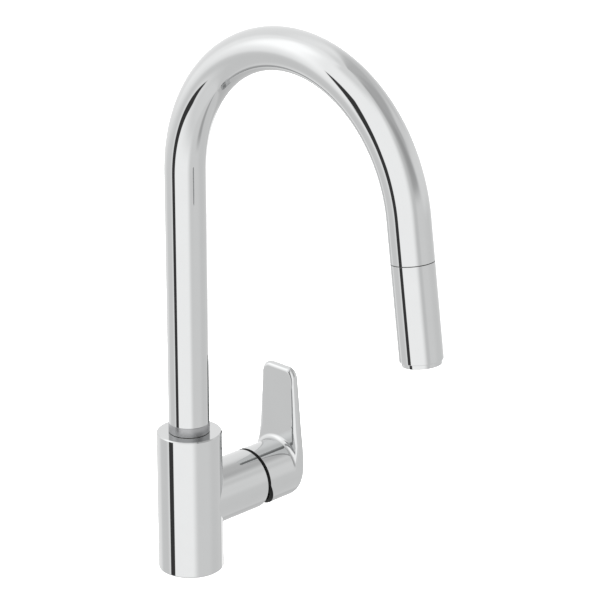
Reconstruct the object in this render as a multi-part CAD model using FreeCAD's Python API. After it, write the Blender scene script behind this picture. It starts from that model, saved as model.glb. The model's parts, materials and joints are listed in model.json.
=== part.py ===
import FreeCAD, Part

# A pull-down kitchen faucet in millimetres. +Z is up, the spout reaches towards -Y, the lever is on the +X side,
# and the origin is the centre of the body's foot, on the deck.

import math
import os

V = FreeCAD.Vector

# Clearances
FIT = 0.05           # round fits between pieces of one body
RUN = 0.08           # running fits between pieces that turn or slide on each other
GAP = 0.30           # free space between separate moving bodies

# Body casting: a vertical column with a side branch for the cartridge
BODY_R = 25.0
BODY_H = 112.1
BODY_EDGE = 0.8
BRANCH_R = 23.7
BRANCH_Z = 53.3
BRANCH_X = 61.0
RECESS_R = 21.0
RECESS_D = 3.0
SEAL_GROOVE_R = 22.9
SEAL_GROOVE_W = 1.6
SEAL_GROOVE_D = 1.5

# Ports in the foot, all on one pitch circle
PORT_PITCH_R = 13.0
PORT_R = 3.5
PORT_D = 12.0
CHANNEL_R = 2.6
INLET_DEG = 45.0
STUD_DEG = 135.0
STUD_R = 3.4
STUD_D = 18.0

# Hose and its passage through the body
HOSE_R = 6.0
HOSE_BORE_R = 4.0
HOSE_BUSH_WALL = 1.3
HOSE_BUSH_LIP = 1.2
HOSE_BUSH_L = 12.0
PASSAGE_R = 8.5

# Spout swivel: a spigot turns in two bushes inside the body's top bore
SPIGOT_R = 13.4
SPIGOT_BORE_R = 9.5
SWIVEL_BORE_R = 15.0
SWIVEL_FLOOR_Z = 78.0
LOWER_BUSH_L = 8.0
UPPER_BUSH_L = 11.0
SWIVEL_DEG = 75.0
STOP_Z = 95.5
STOP_GROOVE_W = 5.0
STOP_GROOVE_R = 11.2
STOP_SCREW_R = 2.5
STOP_TIP_R = 1.8
ORING_Z = 89.4
ORING_R = 1.4
ORING_GROOVE_R = 12.0

# Spout tube: a straight riser, one arc and a short straight outlet end
TUBE_R = 15.65
TUBE_WALL = 1.35
COLLAR_H = 7.3
RISER_TOP_Z = 317.6
ARC_R = 111.5
ARC_DEG = 172.1
OUTLET_L = 30.2
FOOT_SLEEVE_L = 25.0

# Spray head, along the outlet axis from the joint plane
SEAM = 0.5
HEAD_L = 73.1
HEAD_WALL = 1.25
OUTLET_RING_R = 14.2
OUTLET_RING_OUT = 3.5
DOCK_L = 28.0
DOCK_POCKET_L = 16.0
DOCK_POCKET_R = 12.0
DOCK_THROAT_R = 8.0
NECK_L = 13.0
NECK_BORE_R = 9.3
NECK_FLANGE_L = 7.5
CORE_FLANGE_L = 4.0
CORE_TUBE_R = 9.5
CORE_BORE_R = 4.5
BELL_START = 52.0
BELL_WALL = 1.4
INLET_SPIGOT_R = 7.4
INLET_SPIGOT_OUT = 0.6
VALVE_R = 5.5
VALVE_L = 11.5
AERATOR_R = 12.2
AERATOR_BORE_R = 10.4
AERATOR_START = 58.0
AERATOR_LIP = 1.1
SCREEN_T = 0.4
JET_R = 0.9

# Hose end fitting
NUT_R = 9.0
NUT_OUT = 8.0
NUT_IN = 6.5
NUT_COLLAR_L = 3.9
TAIL_NECK_R = 5.2
TAIL_BORE_R = 2.8
TAIL_FLANGE_R = 6.9
TAIL_FLANGE_L = 1.95
WASHER_T = 1.35
WASHER_BORE_R = 3.5
SHOULDER_R = 7.0
SHOULDER_END = 13.0
SHOULDER_L = 1.5
FERRULE_R = 7.2
FERRULE_L = 14.5
BARB_L = 12.0

# Cartridge, along +X from its seat in the branch
SEAT_X = 27.0
CARTRIDGE_R = 17.5
CARTRIDGE_BASE_L = 5.0
PORT_INLET_DZ = -5.0
PORT_MIX_DZ = 9.0
PORT_SEAL_R = 1.2
PORT_SEAL_POCKET = 1.6
DISC_R = 12.0
FIXED_DISC_R = 14.8
FIXED_DISC_T = 3.2
MOVING_DISC_T = 2.9
DISC_LIFT = 0.05
CARRIER_T = 4.3
CARRIER_FLAT = 10.0
CHAMBER_R = 15.5
CHAMBER_L = 14.2
SHOULDER_X = 48.5
HOUSING_NECK_R = 14.5
HOUSING_NECK_L = 10.0
ROTOR_R = 12.4
ROTOR_FLANGE_R = 15.0
ROTOR_FLANGE_L = 2.9
ROTOR_X = 60.5
THREAD_R = 20.35
NUT_RING_L = 7.5
NUT_RING_BORE_R = 14.9
NUT_SLOT_W = 5.0
NUT_SLOT_D = 2.5

# Lever stem, its pivot and the dome that covers them
PIVOT_X = 56.0
TILT_DEG = 22.0
STEM_HALF = 4.0
STEM_X = 96.3
STEM_ROOT_X = 50.0
STEM_ARM_R = 2.4
BALL_R = 3.0
BALL_ARM = 14.5
PIN_R = 1.5
PIN_HALF_L = 11.5
DOME_R = 20.2
DOME_WALL = 1.5
DOME_MOUTH_R = 13.5

# Lever: a round hub with an upright blade
LEVER_GAP = 1.8
HUB_WALL = 2.8
HUB_END_X = 103.5
HUB_ROUND = 8.5
NOTCH_EXTRA_DEG = 1.0
BLADE_X = 94.0
BLADE_TOP_X = 99.5
BLADE_TOP_Z = 139.5
BLADE_TAPER_DEG = 4.65
BLADE_CORNER_R = 8.5
BLADE_ROOT_R = 4.0
GRUB_R = 2.5
GRUB_X = 88.0
GRUB_L = 9.0
PLUG_L = 3.0
PLUG_R = 3.2
HEX_HALF = 1.25
HEX_DEEP = 2.0

# Worked out from the sizes above
BUSH_R = HOSE_R + GAP + HOSE_BUSH_WALL
COLLAR_Z = BODY_H + GAP
TUBE_Z = COLLAR_Z + COLLAR_H
TUBE_BORE_R = TUBE_R - TUBE_WALL
HUB_X = BRANCH_X + LEVER_GAP
HUB_BORE_R = BRANCH_R - HUB_WALL
HUB_FLOOR_X = PIVOT_X + HUB_BORE_R + GAP
FIXED_DISC_X = SEAT_X + CARTRIDGE_BASE_L
MOVING_DISC_X = FIXED_DISC_X + FIXED_DISC_T + DISC_LIFT
CARRIER_X = MOVING_DISC_X + MOVING_DISC_T
DISC_TRAVEL = BALL_ARM * math.sin(math.radians(TILT_DEG))
DISC_DZ = -DISC_TRAVEL / 2
HEAD_R = TUBE_R
HEAD_BORE_R = HEAD_R - HEAD_WALL
CORE_START = SEAM + NECK_FLANGE_L
SHELL_END = HEAD_L - OUTLET_RING_OUT


def rod(radius, start, end):
    """A solid cylinder between two points."""
    run = end - start
    return Part.makeCylinder(radius, run.Length, start, run)


def ring(outer, inner, start, end):
    """A tube between two points."""
    run = end - start
    over = run * (1.0 / run.Length)
    return rod(outer, start, end).cut(rod(inner, start - over, end + over))


def on_z(z):
    return V(0, 0, z)


def on_branch(x, y=0.0, dz=0.0):
    """A point given along the branch's axis."""
    return V(x, y, BRANCH_Z + dz)


def turned_on_branch(outline):
    """Turns a closed outline of (x, radius) points and arcs about the branch's axis."""
    face = Part.Face(Part.Wire(outline))
    return face.revolve(on_branch(0), V(1, 0, 0), 360)


def plate_y(points, half_width):
    """Extrudes a polygon of (x, z) points both ways along Y."""
    corners = [V(x, -half_width, z) for x, z in points]
    face = Part.Face(Part.makePolygon(corners + corners[:1]))
    return face.extrude(V(0, 2 * half_width, 0))


def hexagon(half_width, start, direction, depth):
    """A hexagonal prism, used to cut a socket."""
    corner_r = half_width / math.cos(math.radians(30))
    flat = Part.makePolygon([V(corner_r * math.cos(math.radians(60 * i)),
                               corner_r * math.sin(math.radians(60 * i)), 0) for i in range(7)])
    prism = Part.Face(flat).extrude(V(0, 0, depth))
    prism.Placement = FreeCAD.Placement(start, FreeCAD.Rotation(V(0, 0, 1), direction))
    return prism


def outlet_frame():
    """Placement whose origin is the spout's joint plane and whose +Z is the way the water leaves."""
    turn = FreeCAD.Rotation(V(1, 0, 0), ARC_DEG)
    arc_end = V(0, -ARC_R, RISER_TOP_Z) + turn.multVec(V(0, ARC_R, 0))
    return FreeCAD.Placement(arc_end + turn.multVec(V(0, 0, OUTLET_L)), turn)


def at_outlet(shape):
    """Moves a shape drawn along +Z from the joint plane to its place on the spout."""
    shape.Placement = outlet_frame().multiply(shape.Placement)
    return shape


def bent_rod(radius, start_z, outlet_length):
    """A solid bar along the spout's centre line: up the riser, round the arc and out along the outlet."""
    riser = rod(radius, on_z(start_z), on_z(RISER_TOP_Z))
    section = Part.Face(Part.Wire(Part.makeCircle(radius, on_z(RISER_TOP_Z))))
    arc = section.revolve(V(0, -ARC_R, RISER_TOP_Z), V(1, 0, 0), ARC_DEG)
    outlet = at_outlet(rod(radius, on_z(-OUTLET_L), on_z(outlet_length - OUTLET_L)))
    return riser.fuse([arc, outlet]).removeSplitter()


def bent_tube(outer, inner, start_z, outlet_length):
    """A tube along the spout's centre line."""
    return bent_rod(outer, start_z, outlet_length).cut(bent_rod(inner, start_z - 1, outlet_length + 1))


def port_point(degrees, z):
    angle = math.radians(degrees)
    return V(PORT_PITCH_R * math.cos(angle), PORT_PITCH_R * math.sin(angle), z)


# Body casting and what is fixed in it

def body_casting():
    column = rod(BODY_R, on_z(0), on_z(BODY_H))
    ends = [e for e in column.Edges if e.Curve.TypeId == "Part::GeomCircle"]
    column = column.makeChamfer(BODY_EDGE, ends)
    body = column.fuse(rod(BRANCH_R, on_branch(0), on_branch(BRANCH_X)))
    groove_out = SEAL_GROOVE_R + SEAL_GROOVE_W / 2
    groove_in = SEAL_GROOVE_R - SEAL_GROOVE_W / 2
    cuts = [
        rod(RECESS_R, on_z(-1), on_z(RECESS_D)),
        ring(groove_out, groove_in, on_z(-1), on_z(SEAL_GROOVE_D)),
        rod(BUSH_R + HOSE_BUSH_LIP + FIT, on_z(0), on_z(RECESS_D + HOSE_BUSH_LIP)),
        rod(BUSH_R + FIT, on_z(0), on_z(RECESS_D + HOSE_BUSH_L)),
        rod(PASSAGE_R, on_z(RECESS_D + HOSE_BUSH_L), on_z(BODY_H)),
        rod(SWIVEL_BORE_R, on_z(SWIVEL_FLOOR_Z), on_z(BODY_H + 1)),
        rod(STOP_SCREW_R, V(0, 0, STOP_Z), V(0, BODY_R + 1, STOP_Z)),
        rod(CARTRIDGE_R + FIT, on_branch(SEAT_X), on_branch(BRANCH_X + 1)),
        rod(THREAD_R, on_branch(SHOULDER_X), on_branch(BRANCH_X + 1)),
    ]
    for side in (1, -1):
        inlet = port_point(side * INLET_DEG, RECESS_D)
        cuts.append(rod(PORT_R, inlet, inlet + V(0, 0, PORT_D)))
        corner = V(inlet.x, inlet.y, BRANCH_Z + PORT_INLET_DZ)
        cuts.append(rod(CHANNEL_R, inlet, corner + V(0, 0, CHANNEL_R)))
        cuts.append(rod(CHANNEL_R, corner, V(SEAT_X + 1, corner.y, corner.z)))
        stud = port_point(side * STUD_DEG, RECESS_D)
        cuts.append(rod(STUD_R, stud, stud + V(0, 0, STUD_D)))
    mixed = port_point(0, RECESS_D)
    corner = V(mixed.x, 0, BRANCH_Z + PORT_MIX_DZ)
    cuts.append(rod(PORT_R, mixed, mixed + V(0, 0, PORT_D)))
    cuts.append(rod(CHANNEL_R, mixed, corner + V(0, 0, CHANNEL_R)))
    cuts.append(rod(CHANNEL_R, corner, V(SEAT_X + 1, 0, corner.z)))
    return body.cut(cuts)


def base_seal():
    half = SEAL_GROOVE_W / 2 - FIT
    return ring(SEAL_GROOVE_R + half, SEAL_GROOVE_R - half, on_z(0), on_z(SEAL_GROOVE_D))


def hose_bush():
    """The sleeve that the hose slides in, with its lip sunk level with the recess's floor."""
    lip_z = RECESS_D + HOSE_BUSH_LIP
    body = ring(BUSH_R, HOSE_R + GAP, on_z(RECESS_D), on_z(RECESS_D + HOSE_BUSH_L))
    lip = ring(BUSH_R + HOSE_BUSH_LIP, HOSE_R + GAP, on_z(RECESS_D), on_z(lip_z))
    return body.fuse(lip).removeSplitter()


def swivel_bush(start_z, length):
    return ring(SWIVEL_BORE_R - FIT, SPIGOT_R + RUN, on_z(start_z), on_z(start_z + length))


def stop_screw():
    """A dog-point grub screw in the back of the body. Its tip runs in the spigot's groove and stops the swivel."""
    head_y = BODY_R - GAP
    shank_end_y = SWIVEL_BORE_R + FIT
    tip_y = STOP_GROOVE_R + GAP
    screw = rod(STOP_SCREW_R - FIT, V(0, shank_end_y, STOP_Z), V(0, head_y, STOP_Z))
    tip = rod(STOP_TIP_R, V(0, tip_y, STOP_Z), V(0, shank_end_y + 1, STOP_Z))
    socket = hexagon(HEX_HALF, V(0, head_y - HEX_DEEP, STOP_Z), V(0, 1, 0), HEX_DEEP + 1)
    return screw.fuse(tip).cut(socket).removeSplitter()


# Spout

def spout_foot():
    """The brass spigot that carries the tube: it turns in the bushes and is brazed into the tube's foot."""
    foot = rod(SPIGOT_R, on_z(SWIVEL_FLOOR_Z + GAP), on_z(TUBE_Z))
    foot = foot.fuse(rod(TUBE_BORE_R - FIT, on_z(TUBE_Z), on_z(TUBE_Z + FOOT_SLEEVE_L)))
    foot = foot.cut(rod(SPIGOT_BORE_R, on_z(0), on_z(TUBE_Z + FOOT_SLEEVE_L + 1)))
    seal_half = ORING_R + 2 * FIT
    seal_groove = ring(SPIGOT_R + 1, ORING_GROOVE_R, on_z(ORING_Z - seal_half), on_z(ORING_Z + seal_half))
    tip_deg = math.degrees(math.asin(STOP_TIP_R / STOP_GROOVE_R))
    half_sweep = SWIVEL_DEG + tip_deg + 1.0
    low = STOP_Z - STOP_GROOVE_W / 2
    corners = [V(STOP_GROOVE_R, 0, low), V(SPIGOT_R + 1, 0, low),
               V(SPIGOT_R + 1, 0, low + STOP_GROOVE_W), V(STOP_GROOVE_R, 0, low + STOP_GROOVE_W)]
    section = Part.Face(Part.makePolygon(corners + corners[:1]))
    section.rotate(V(0, 0, 0), V(0, 0, 1), 90 - half_sweep)
    stop_groove = section.revolve(V(0, 0, 0), V(0, 0, 1), 2 * half_sweep)
    return foot.cut([seal_groove, stop_groove])


def spout_o_ring():
    return Part.makeTorus(ORING_GROOVE_R + FIT + ORING_R, ORING_R, on_z(ORING_Z), V(0, 0, 1))


def swivel_collar():
    return ring(TUBE_R, SPIGOT_R + FIT, on_z(COLLAR_Z), on_z(TUBE_Z))


def spout_tube():
    return bent_tube(TUBE_R, TUBE_BORE_R, TUBE_Z, OUTLET_L)


def hose_dock():
    """The plastic guide in the spout's mouth. The spray head's neck seats in its pocket."""
    dock = rod(TUBE_BORE_R - FIT, on_z(-DOCK_L), on_z(-GAP))
    pocket = rod(DOCK_POCKET_R, on_z(-DOCK_POCKET_L), on_z(1))
    throat = rod(DOCK_THROAT_R, on_z(-DOCK_L - 1), on_z(0))
    funnel_l = DOCK_POCKET_R - DOCK_THROAT_R
    top_funnel = Part.makeCone(DOCK_POCKET_R, DOCK_THROAT_R, funnel_l, on_z(-DOCK_L), V(0, 0, 1))
    return at_outlet(dock.cut([pocket, throat, top_funnel]))


# Hose and its end fitting

def spray_hose():
    """The pull-out hose from the recess's floor, where it is cut off, to the shoulder of its upper end."""
    return bent_tube(HOSE_R, HOSE_BORE_R, RECESS_D, OUTLET_L - SHOULDER_END - SHOULDER_L - GAP)


def hose_ferrule():
    start = -SHOULDER_END - SHOULDER_L
    return at_outlet(ring(FERRULE_R, HOSE_R + FIT, on_z(start - FERRULE_L), on_z(start)))


def hose_tail():
    """The barbed insert in the hose's end, with the flange that the hose nut holds."""
    flange_end = -INLET_SPIGOT_OUT - WASHER_T - RUN
    shoulder_start = -SHOULDER_END - SHOULDER_L
    tail = rod(HOSE_BORE_R - FIT, on_z(shoulder_start - BARB_L), on_z(shoulder_start))
    tail = tail.fuse([
        rod(SHOULDER_R, on_z(shoulder_start), on_z(-SHOULDER_END)),
        rod(TAIL_NECK_R, on_z(-SHOULDER_END), on_z(flange_end)),
        rod(TAIL_FLANGE_R, on_z(flange_end - TAIL_FLANGE_L), on_z(flange_end)),
    ])
    bore = rod(TAIL_BORE_R, on_z(shoulder_start - BARB_L - 1), on_z(1))
    return at_outlet(tail.cut(bore).removeSplitter())


# Spray head

def hose_nut():
    collar_end = -INLET_SPIGOT_OUT - WASHER_T - 2 * RUN - TAIL_FLANGE_L
    nut = rod(NUT_R, on_z(collar_end - NUT_COLLAR_L), on_z(NUT_IN))
    thread = rod(INLET_SPIGOT_R + FIT, on_z(collar_end), on_z(NUT_IN + 1))
    neck = rod(TAIL_NECK_R + RUN, on_z(-NUT_OUT - 1), on_z(0))
    return at_outlet(nut.cut([thread, neck]))


def inlet_washer():
    end = -INLET_SPIGOT_OUT
    return at_outlet(ring(TAIL_FLANGE_R, WASHER_BORE_R, on_z(end - WASHER_T), on_z(end)))


def spray_neck():
    """The black neck that docks in the spout, with a flange inside the spray head's shell."""
    neck = rod(DOCK_POCKET_R - GAP, on_z(-NECK_L), on_z(SEAM))
    top = [e for e in neck.Edges if abs(e.BoundBox.ZMin + NECK_L) < FIT and abs(e.BoundBox.ZMax + NECK_L) < FIT]
    neck = neck.makeChamfer(1.0, top)
    neck = neck.fuse(rod(HEAD_BORE_R - FIT, on_z(SEAM), on_z(CORE_START)))
    return at_outlet(neck.cut(rod(NECK_BORE_R, on_z(-NECK_L - 1), on_z(CORE_START + 1))))


def spray_core():
    """The water guide inside the spray head: inlet spigot, flange, tube and the bell that holds the aerator."""
    flange_end = CORE_START + CORE_FLANGE_L
    bell_r = OUTLET_RING_R - FIT - BELL_WALL
    core = rod(INLET_SPIGOT_R, on_z(-INLET_SPIGOT_OUT), on_z(CORE_START))
    core = core.fuse([
        rod(HEAD_BORE_R - FIT, on_z(CORE_START), on_z(flange_end)),
        rod(CORE_TUBE_R, on_z(flange_end), on_z(BELL_START)),
        rod(bell_r, on_z(BELL_START), on_z(AERATOR_START)),
    ])
    groove_half = ORING_R * 0.6
    mid = CORE_START + CORE_FLANGE_L / 2
    cuts = [
        rod(CORE_BORE_R, on_z(-1), on_z(AERATOR_START + 1)),
        rod(VALVE_R + FIT, on_z(-1), on_z(VALVE_L + 2 * FIT)),
        rod(AERATOR_BORE_R, on_z(BELL_START + BELL_WALL), on_z(AERATOR_START + 1)),
        ring(HEAD_R, HEAD_BORE_R - 2 * groove_half - 2 * FIT, on_z(mid - groove_half), on_z(mid + groove_half)),
    ]
    return at_outlet(core.cut(cuts).removeSplitter())


def core_o_ring():
    section_r = ORING_R * 0.6 - FIT
    middle = CORE_START + CORE_FLANGE_L / 2
    return at_outlet(Part.makeTorus(HEAD_BORE_R - FIT - section_r, section_r, on_z(middle), V(0, 0, 1)))


def check_valve():
    """A small non-return cartridge in the spray head's inlet, with its poppet seat shown as a cone."""
    valve = rod(VALVE_R, on_z(GAP), on_z(VALVE_L))
    bore = rod(VALVE_R - 1.5, on_z(0), on_z(VALVE_L / 2))
    seat = Part.makeCone(VALVE_R - 1.5, VALVE_R - 3, VALVE_L / 2, on_z(VALVE_L / 2), V(0, 0, 1))
    return at_outlet(valve.cut([bore, seat]))


def spray_shell():
    shell = ring(HEAD_R, HEAD_BORE_R, on_z(SEAM), on_z(SHELL_END))
    return at_outlet(shell)


def outlet_ring():
    """The inset ring at the outlet, which holds the aerator against the core's bell."""
    sleeve = rod(HEAD_BORE_R - FIT, on_z(AERATOR_START), on_z(SHELL_END))
    lip = rod(OUTLET_RING_R, on_z(SHELL_END), on_z(HEAD_L))
    bore = rod(AERATOR_R + FIT, on_z(AERATOR_START - 1), on_z(HEAD_L - AERATOR_LIP))
    mouth = rod(AERATOR_BORE_R, on_z(0), on_z(HEAD_L + 1))
    return at_outlet(sleeve.fuse(lip).removeSplitter().cut([bore, mouth]))


def jet_points(rings, pitch):
    """Points on rings about the axis, six more on each ring."""
    points = [(0.0, 0.0)]
    for k in range(1, rings + 1):
        count = 6 * k
        points += [(k * pitch * math.cos(2 * math.pi * i / count),
                    k * pitch * math.sin(2 * math.pi * i / count)) for i in range(count)]
    return points


def aerator_housing():
    """The aerator's cup, with a perforated floor that the water leaves through."""
    end = HEAD_L - AERATOR_LIP
    cup = rod(AERATOR_R, on_z(AERATOR_START), on_z(end - FIT))
    cup = cup.fuse(rod(AERATOR_BORE_R - FIT, on_z(end - 1), on_z(HEAD_L - GAP)))
    cup = cup.cut(rod(AERATOR_BORE_R - 1, on_z(AERATOR_START - 1), on_z(end - 2)))
    holes = [rod(JET_R, V(x, y, end - 3), V(x, y, HEAD_L + 1)) for x, y in jet_points(3, 2.9)]
    return at_outlet(cup.cut(holes).removeSplitter())


def aerator_screen():
    radius = AERATOR_BORE_R - 1 - FIT
    return at_outlet(rod(radius, on_z(AERATOR_START + 4), on_z(AERATOR_START + 4 + SCREEN_T)))


def flow_limiter():
    """The plastic disc over the screen that sets the flow, with one ring of orifices."""
    disc = rod(AERATOR_BORE_R - 1 - FIT, on_z(AERATOR_START + 0.5), on_z(AERATOR_START + 4))
    holes = [rod(JET_R, V(x, y, AERATOR_START), V(x, y, AERATOR_START + 5)) for x, y in jet_points(1, 5.5)[1:]]
    return at_outlet(disc.cut(holes))


# Cartridge

def cartridge_port_points():
    """Places of the two inlets and the mixed outlet on the cartridge's base, as (y, dz)."""
    side = PORT_PITCH_R * math.sin(math.radians(INLET_DEG))
    return [(side, PORT_INLET_DZ), (-side, PORT_INLET_DZ), (0.0, PORT_MIX_DZ)]


def cartridge_base():
    base = rod(CARTRIDGE_R, on_branch(SEAT_X), on_branch(FIXED_DISC_X))
    cuts = []
    for y, dz in cartridge_port_points():
        start = on_branch(SEAT_X - 1, y, dz)
        cuts.append(rod(CHANNEL_R, start, on_branch(FIXED_DISC_X + 1, y, dz)))
        pocket = rod(CHANNEL_R + 2 * PORT_SEAL_R, start, on_branch(SEAT_X + PORT_SEAL_POCKET, y, dz))
        cuts.append(pocket)
    return base.cut(cuts)


def port_seals():
    """Three rubber rings between the cartridge's base and its seat."""
    seals = []
    for y, dz in cartridge_port_points():
        middle = on_branch(SEAT_X + PORT_SEAL_POCKET / 2, y, dz)
        section_r = PORT_SEAL_POCKET / 2 - FIT
        seals.append(Part.makeTorus(CHANNEL_R + PORT_SEAL_R, section_r, middle, V(1, 0, 0)))
    return Part.makeCompound(seals)


def fixed_disc():
    disc = rod(FIXED_DISC_R, on_branch(FIXED_DISC_X), on_branch(FIXED_DISC_X + FIXED_DISC_T))
    holes = [rod(CHANNEL_R, on_branch(FIXED_DISC_X - 1, y, dz), on_branch(MOVING_DISC_X + 1, y, dz))
             for y, dz in cartridge_port_points()]
    return disc.cut(holes)


def moving_disc():
    """The upper ceramic disc. Its underside has the hollow that joins the open ports."""
    start = on_branch(MOVING_DISC_X, 0, DISC_DZ)
    disc = rod(DISC_R, start, on_branch(CARRIER_X, 0, DISC_DZ))
    hollow = rod(DISC_R / 2, on_branch(MOVING_DISC_X - 1, 0, DISC_DZ),
                 on_branch(MOVING_DISC_X + MOVING_DISC_T / 2, 0, DISC_DZ))
    return disc.cut(hollow)


def disc_carrier():
    """The plate on the moving disc, with flats that the rotor's prongs guide and a pocket for the stem's ball."""
    end_x = CARRIER_X + CARRIER_T
    plate = rod(DISC_R, on_branch(CARRIER_X, 0, DISC_DZ), on_branch(end_x, 0, DISC_DZ))
    guide = Part.makeBox(CARRIER_T, 2 * CARRIER_FLAT, 4 * DISC_R, on_branch(CARRIER_X, -CARRIER_FLAT, -2 * DISC_R))
    pocket = rod(BALL_R + GAP, on_branch(CARRIER_X - 1), on_branch(end_x + 1))
    return plate.common(guide).cut(pocket)


def cartridge_housing():
    roof_x = FIXED_DISC_X + CHAMBER_L
    neck_end = SHOULDER_X + HOUSING_NECK_L
    shell = rod(CARTRIDGE_R, on_branch(FIXED_DISC_X), on_branch(SHOULDER_X))
    shell = shell.fuse(rod(HOUSING_NECK_R, on_branch(SHOULDER_X), on_branch(neck_end)))
    chamber = rod(CHAMBER_R, on_branch(FIXED_DISC_X - 1), on_branch(roof_x))
    bore = rod(ROTOR_R + RUN, on_branch(roof_x - 1), on_branch(neck_end + 1))
    return shell.cut([chamber, bore]).removeSplitter()


def stem_slot():
    """The space that the stem sweeps inside the rotor as it tilts."""
    half = STEM_HALF + GAP
    slope = math.tan(math.radians(TILT_DEG + 1.5))
    rise = half / math.cos(math.radians(TILT_DEG + 1.5))
    knee = (rise - half) / slope
    outer = ROTOR_X - PIVOT_X + 1
    inner = BALL_ARM + BALL_R + 1
    ball_top = BALL_ARM * math.sin(math.radians(TILT_DEG + 1.5)) + BALL_R + GAP
    ridge = (ball_top - rise) / slope
    outline = [(outer, half), (knee, half), (-ridge, ball_top), (-inner, ball_top),
               (-inner, -half), (-knee, -half), (outer, -rise - outer * slope)]
    return plate_y([(PIVOT_X + x, BRANCH_Z + dz) for x, dz in outline], half)


def cartridge_rotor():
    """Turns in the housing with the lever and carries the stem's pin. Two prongs below guide the disc carrier."""
    flange_end = FIXED_DISC_X + CHAMBER_L - RUN
    flange_start = flange_end - ROTOR_FLANGE_L
    prong_start = CARRIER_X + GAP
    rotor = rod(ROTOR_FLANGE_R, on_branch(flange_start), on_branch(flange_end))
    rotor = rotor.fuse(rod(ROTOR_R, on_branch(flange_end), on_branch(ROTOR_X)))
    prongs = rod(ROTOR_FLANGE_R, on_branch(prong_start), on_branch(flange_start))
    channel = CARRIER_FLAT + GAP
    prongs = prongs.cut(Part.makeBox(CHAMBER_L, 2 * channel, 4 * DISC_R,
                                     on_branch(prong_start - 1, -channel, -2 * DISC_R)))
    pin_hole = rod(PIN_R + FIT, on_branch(PIVOT_X, -PIN_HALF_L - FIT), on_branch(PIVOT_X, PIN_HALF_L + FIT))
    return rotor.fuse(prongs).cut([stem_slot(), pin_hole]).removeSplitter()


def stem_pin():
    return rod(PIN_R, on_branch(PIVOT_X, -PIN_HALF_L), on_branch(PIVOT_X, PIN_HALF_L))


def cartridge_nut():
    start, end = SHOULDER_X, SHOULDER_X + NUT_RING_L
    nut = ring(THREAD_R - FIT, NUT_RING_BORE_R, on_branch(start), on_branch(end))
    slot = Part.makeBox(NUT_SLOT_D + 1, NUT_SLOT_W, 4 * THREAD_R,
                        on_branch(end - NUT_SLOT_D, -NUT_SLOT_W / 2, -2 * THREAD_R))
    return nut.cut(slot)


def cartridge_dome():
    """The black cover over the cartridge. Its dome is centred on the pivot, so the tilting hub passes close by."""
    def on_sphere(radius, x):
        return V(x, 0, BRANCH_Z + math.sqrt(radius ** 2 - (x - PIVOT_X) ** 2))

    start_x = SHOULDER_X + NUT_RING_L + GAP
    skirt_r = THREAD_R - FIT
    inner_r = DOME_R - DOME_WALL
    mouth_x = PIVOT_X + math.sqrt(DOME_R ** 2 - DOME_MOUTH_R ** 2)
    lip_x = BRANCH_X - GAP
    a = V(start_x, 0, BRANCH_Z + skirt_r)
    b = V(lip_x, 0, BRANCH_Z + skirt_r)
    c = on_sphere(DOME_R, lip_x)
    d = on_sphere(DOME_R, mouth_x)
    e = on_sphere(inner_r, mouth_x)
    f = on_sphere(inner_r, start_x)
    outline = [
        Part.makeLine(a, b),
        Part.makeLine(b, c),
        Part.Arc(c, on_sphere(DOME_R, (lip_x + mouth_x) / 2), d).toShape(),
        Part.makeLine(d, e),
        Part.Arc(e, on_sphere(inner_r, (start_x + mouth_x) / 2), f).toShape(),
        Part.makeLine(f, a),
    ]
    return turned_on_branch(outline)


# Lever

def lever_stem():
    side = 2 * STEM_HALF
    bar = Part.makeBox(STEM_X - STEM_ROOT_X, side, side, on_branch(STEM_ROOT_X, -STEM_HALF, -STEM_HALF))
    ball_centre = on_branch(PIVOT_X - BALL_ARM)
    arm = rod(STEM_ARM_R, ball_centre, on_branch(STEM_ROOT_X + 1))
    ball = Part.makeSphere(BALL_R, ball_centre)
    pin_hole = rod(PIN_R + RUN, on_branch(PIVOT_X, -side), on_branch(PIVOT_X, side))
    return bar.fuse([arm, ball]).cut(pin_hole).removeSplitter()


def blade_outline():
    """The blade seen along X: straight sides that leave the hub's circle and close in towards a rounded top."""
    taper = math.radians(BLADE_TAPER_DEG)
    tangent_y = BRANCH_R * math.cos(taper)
    tangent_z = BRANCH_R * math.sin(taper)
    top_dz = BLADE_TOP_Z - BRANCH_Z
    top_y = BRANCH_R / math.cos(taper) - top_dz * math.tan(taper)
    corners = [V(0, tangent_y, BRANCH_Z + tangent_z), V(0, top_y, BLADE_TOP_Z),
               V(0, -top_y, BLADE_TOP_Z), V(0, -tangent_y, BRANCH_Z + tangent_z)]
    return Part.Face(Part.makePolygon(corners + corners[:1]))


def blade_root():
    """The hollow-faced ring that rounds the corner between the hub and the blade's inner face."""
    ring_r = BRANCH_R + BLADE_ROOT_R
    start_x = BLADE_X - BLADE_ROOT_R
    foot = V(start_x, 0, BRANCH_Z + BRANCH_R)
    top = V(BLADE_X, 0, BRANCH_Z + ring_r)
    hollow = BLADE_ROOT_R * (1 - math.sqrt(0.5))
    middle = V(BLADE_X - hollow, 0, BRANCH_Z + BRANCH_R + hollow)
    low = V(start_x, 0, BRANCH_Z + BRANCH_R - 1)
    back_low = V(BLADE_X + 1, 0, BRANCH_Z + BRANCH_R - 1)
    back_top = V(BLADE_X + 1, 0, BRANCH_Z + ring_r)
    return turned_on_branch([
        Part.Arc(foot, middle, top).toShape(),
        Part.makeLine(top, back_top),
        Part.makeLine(back_top, back_low),
        Part.makeLine(back_low, low),
        Part.makeLine(low, foot),
    ])


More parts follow.
